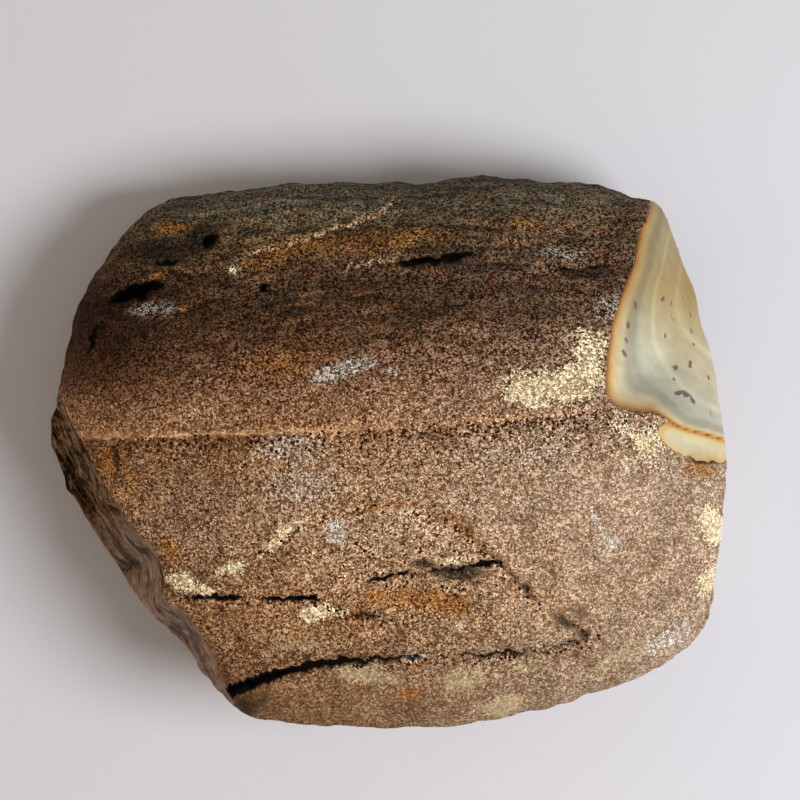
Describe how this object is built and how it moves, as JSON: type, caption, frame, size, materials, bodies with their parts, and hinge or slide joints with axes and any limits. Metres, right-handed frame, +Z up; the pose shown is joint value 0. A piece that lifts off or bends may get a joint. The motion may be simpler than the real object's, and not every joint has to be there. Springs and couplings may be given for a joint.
{
  "type": "ribbon stone",
  "caption": "Broken piece of banded silica rock in a brown sandy rind, with a low crest, split layers and a smooth pale chip.",
  "frame": {"origin": "centre of the bounding box on the plane the stone rests on", "axes": "+X along the stone's longest side towards the chip, +Y across it towards the steep dark face, +Z up"},
  "size_m": [0.1134, 0.0924, 0.0437],
  "materials": {
    "rind": "dry, sandy weathered stone rind with a smooth banded break at the chip"
  },
  "bodies": {
    "root": {"stone": "rind"}
  },
  "joints": []
}
